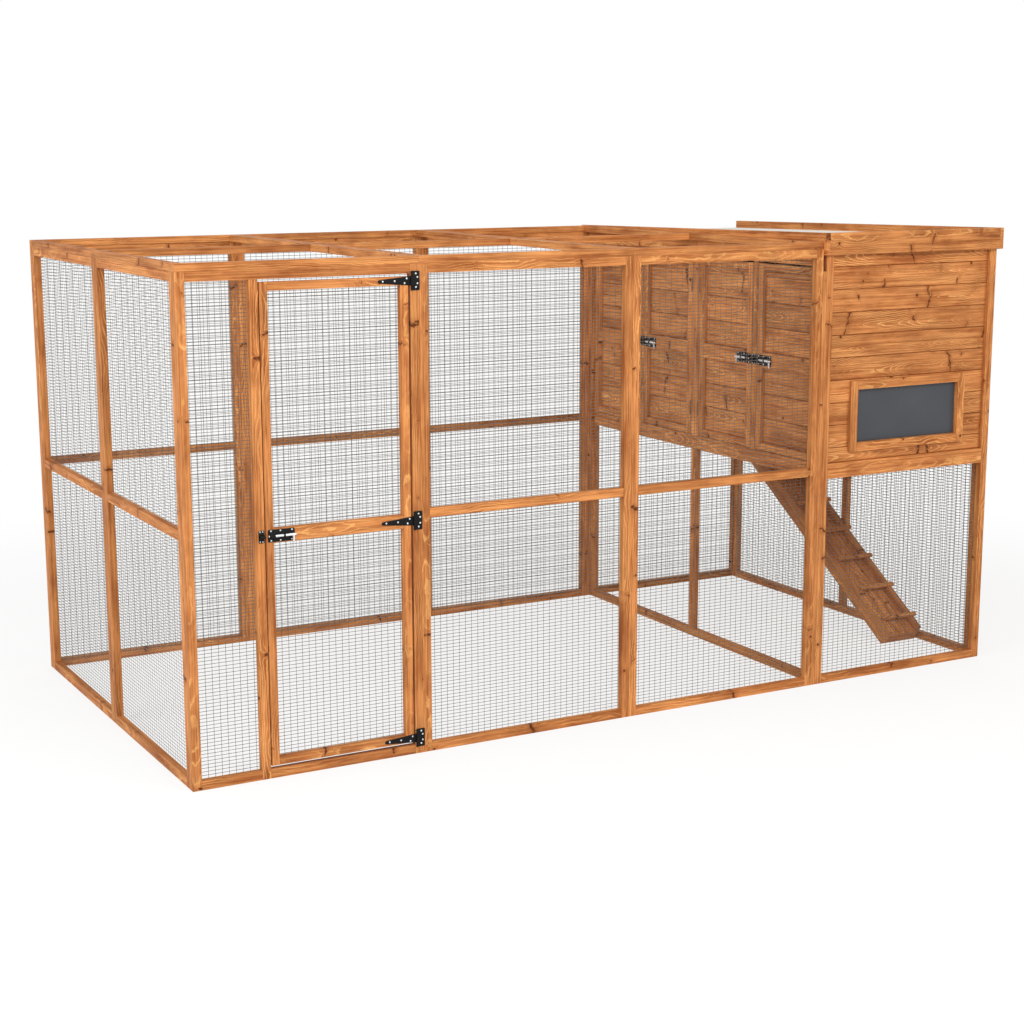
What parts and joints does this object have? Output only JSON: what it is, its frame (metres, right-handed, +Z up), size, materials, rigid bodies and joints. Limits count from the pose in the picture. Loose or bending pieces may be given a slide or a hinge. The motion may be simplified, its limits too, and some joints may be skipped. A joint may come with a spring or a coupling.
{
  "type": "rabbit hutch with run",
  "caption": "Walk-in timber and weldmesh pet run with a raised boarded hutch at one end, reached by doors from the run and by a ramp through its floor.",
  "frame": {"origin": "centre of the overall footprint, on the ground", "axes": "+Z up, +X along the front from the run's free end to the hutch, +Y from the front to the back"},
  "size_m": [3.624, 1.898, 1.8663],
  "materials": {
    "timber": "sawn, oil stained",
    "cladding": "planed, oil stained",
    "weldmesh": "galvanised",
    "plywood": "sanded",
    "felt": "mineral felt",
    "pane": "clear",
    "black_steel": "satin",
    "zinc": "zinc plated"
  },
  "bodies": {
    "hutch_and_run": {"left_front_panel_frame": "timber", "left_rear_panel_frame": "timber", "left_mesh_sheets": "weldmesh", "door_panel_frame": "timber", "front_middle_panel_frame": "timber", "front_right_panel_frame": "timber", "front_mesh_sheets": "weldmesh", "back_left_panel_frame": "timber", "back_middle_panel_frame": "timber", "back_right_panel_frame": "timber", "back_mesh_sheets": "weldmesh", "roof_left_frame": "timber", "roof_middle_frame": "timber", "roof_right_frame": "timber", "joining_battens": "timber", "hutch_run_side_frame": "timber", "hutch_front_frame": "timber", "hutch_right_frame": "timber", "hutch_back_frame": "timber", "hutch_front_cladding": "cladding", "hutch_right_cladding": "cladding", "hutch_back_cladding": "cladding", "hutch_mesh_sheets": "weldmesh", "window_frame": "timber", "window_pane": "pane", "hutch_floor": "plywood", "floor_bearers": "timber", "roof_deck": "plywood", "roof_felt": "felt", "roof_fascias": "timber", "tee_hinge_plates": "black_steel", "bolt_keepers": "black_steel", "hutch_hinge_post_leaves": "black_steel", "bearer_hinge_leaf": "zinc"},
    "walk_in_door": {"walk_in_door_frame": "timber", "walk_in_door_mesh": "weldmesh", "tee_hinge_straps": "black_steel", "walk_in_bolt_base": "black_steel"},
    "walk_in_bolt": {"walk_in_bolt_rod": "zinc"},
    "hutch_door_1": {"hutch_door_1_frame": "timber", "hutch_door_1_boards": "cladding", "hutch_door_1_hinges_and_bolt": "black_steel"},
    "hutch_bolt_1": {"hutch_door_1_bolt_rod": "zinc"},
    "hutch_door_2": {"hutch_door_2_frame": "timber", "hutch_door_2_boards": "cladding", "hutch_door_2_hinges_and_bolt": "black_steel"},
    "hutch_bolt_2": {"hutch_door_2_bolt_rod": "zinc"},
    "hutch_door_3": {"hutch_door_3_frame": "timber", "hutch_door_3_boards": "cladding", "hutch_door_3_hinges_and_bolt": "black_steel"},
    "hutch_bolt_3": {"hutch_door_3_bolt_rod": "zinc"},
    "hutch_door_4": {"hutch_door_4_frame": "timber", "hutch_door_4_boards": "cladding", "hutch_door_4_hinges_and_bolt": "black_steel"},
    "hutch_bolt_4": {"hutch_door_4_bolt_rod": "zinc"},
    "ramp": {"ramp_side_rails": "timber", "ramp_deck": "cladding", "ramp_hinge_leaf": "zinc"}
  },
  "joints": [
    {"name": "walk_in_door_swing", "type": "hinge", "parent": "hutch_and_run", "child": "walk_in_door", "pos_m": [-0.9442, -0.9358, 0.902], "axis": [0, 0, 1], "range_deg": [0, 120]},
    {"name": "walk_in_bolt_slide", "type": "slide", "parent": "walk_in_door", "child": "walk_in_bolt", "axis": [-1, 0, 0], "range_m": [0, 0.028]},
    {"name": "hutch_door_1_swing", "type": "hinge", "parent": "hutch_and_run", "child": "hutch_door_1", "pos_m": [0.8932, -0.8675, 1.327], "axis": [0, 0, 1], "range_deg": [0, 90]},
    {"name": "hutch_bolt_1_slide", "type": "slide", "parent": "hutch_door_1", "child": "hutch_bolt_1", "axis": [0, 1, 0], "range_m": [0, 0.023]},
    {"name": "hutch_door_2_swing", "type": "hinge", "parent": "hutch_and_run", "child": "hutch_door_2", "pos_m": [0.8932, -0.0415, 1.327], "axis": [0, 0, -1], "range_deg": [0, 90]},
    {"name": "hutch_bolt_2_slide", "type": "slide", "parent": "hutch_door_2", "child": "hutch_bolt_2", "axis": [0, -1, 0], "range_m": [0, 0.023]},
    {"name": "hutch_door_3_swing", "type": "hinge", "parent": "hutch_and_run", "child": "hutch_door_3", "pos_m": [0.8932, 0.0155, 1.327], "axis": [0, 0, 1], "range_deg": [0, 90]},
    {"name": "hutch_bolt_3_slide", "type": "slide", "parent": "hutch_door_3", "child": "hutch_bolt_3", "axis": [0, 1, 0], "range_m": [0, 0.023]},
    {"name": "hutch_door_4_swing", "type": "hinge", "parent": "hutch_and_run", "child": "hutch_door_4", "pos_m": [0.8932, 0.8415, 1.327], "axis": [0, 0, -1], "range_deg": [0, 90]},
    {"name": "hutch_bolt_4_slide", "type": "slide", "parent": "hutch_door_4", "child": "hutch_bolt_4", "axis": [0, -1, 0], "range_m": [0, 0.023]},
    {"name": "ramp_lift", "type": "hinge", "parent": "hutch_and_run", "child": "ramp", "pos_m": [1.655, 0.7447, 0.879], "axis": [-1, 0, 0], "range_deg": [0, 24]}
  ]
}
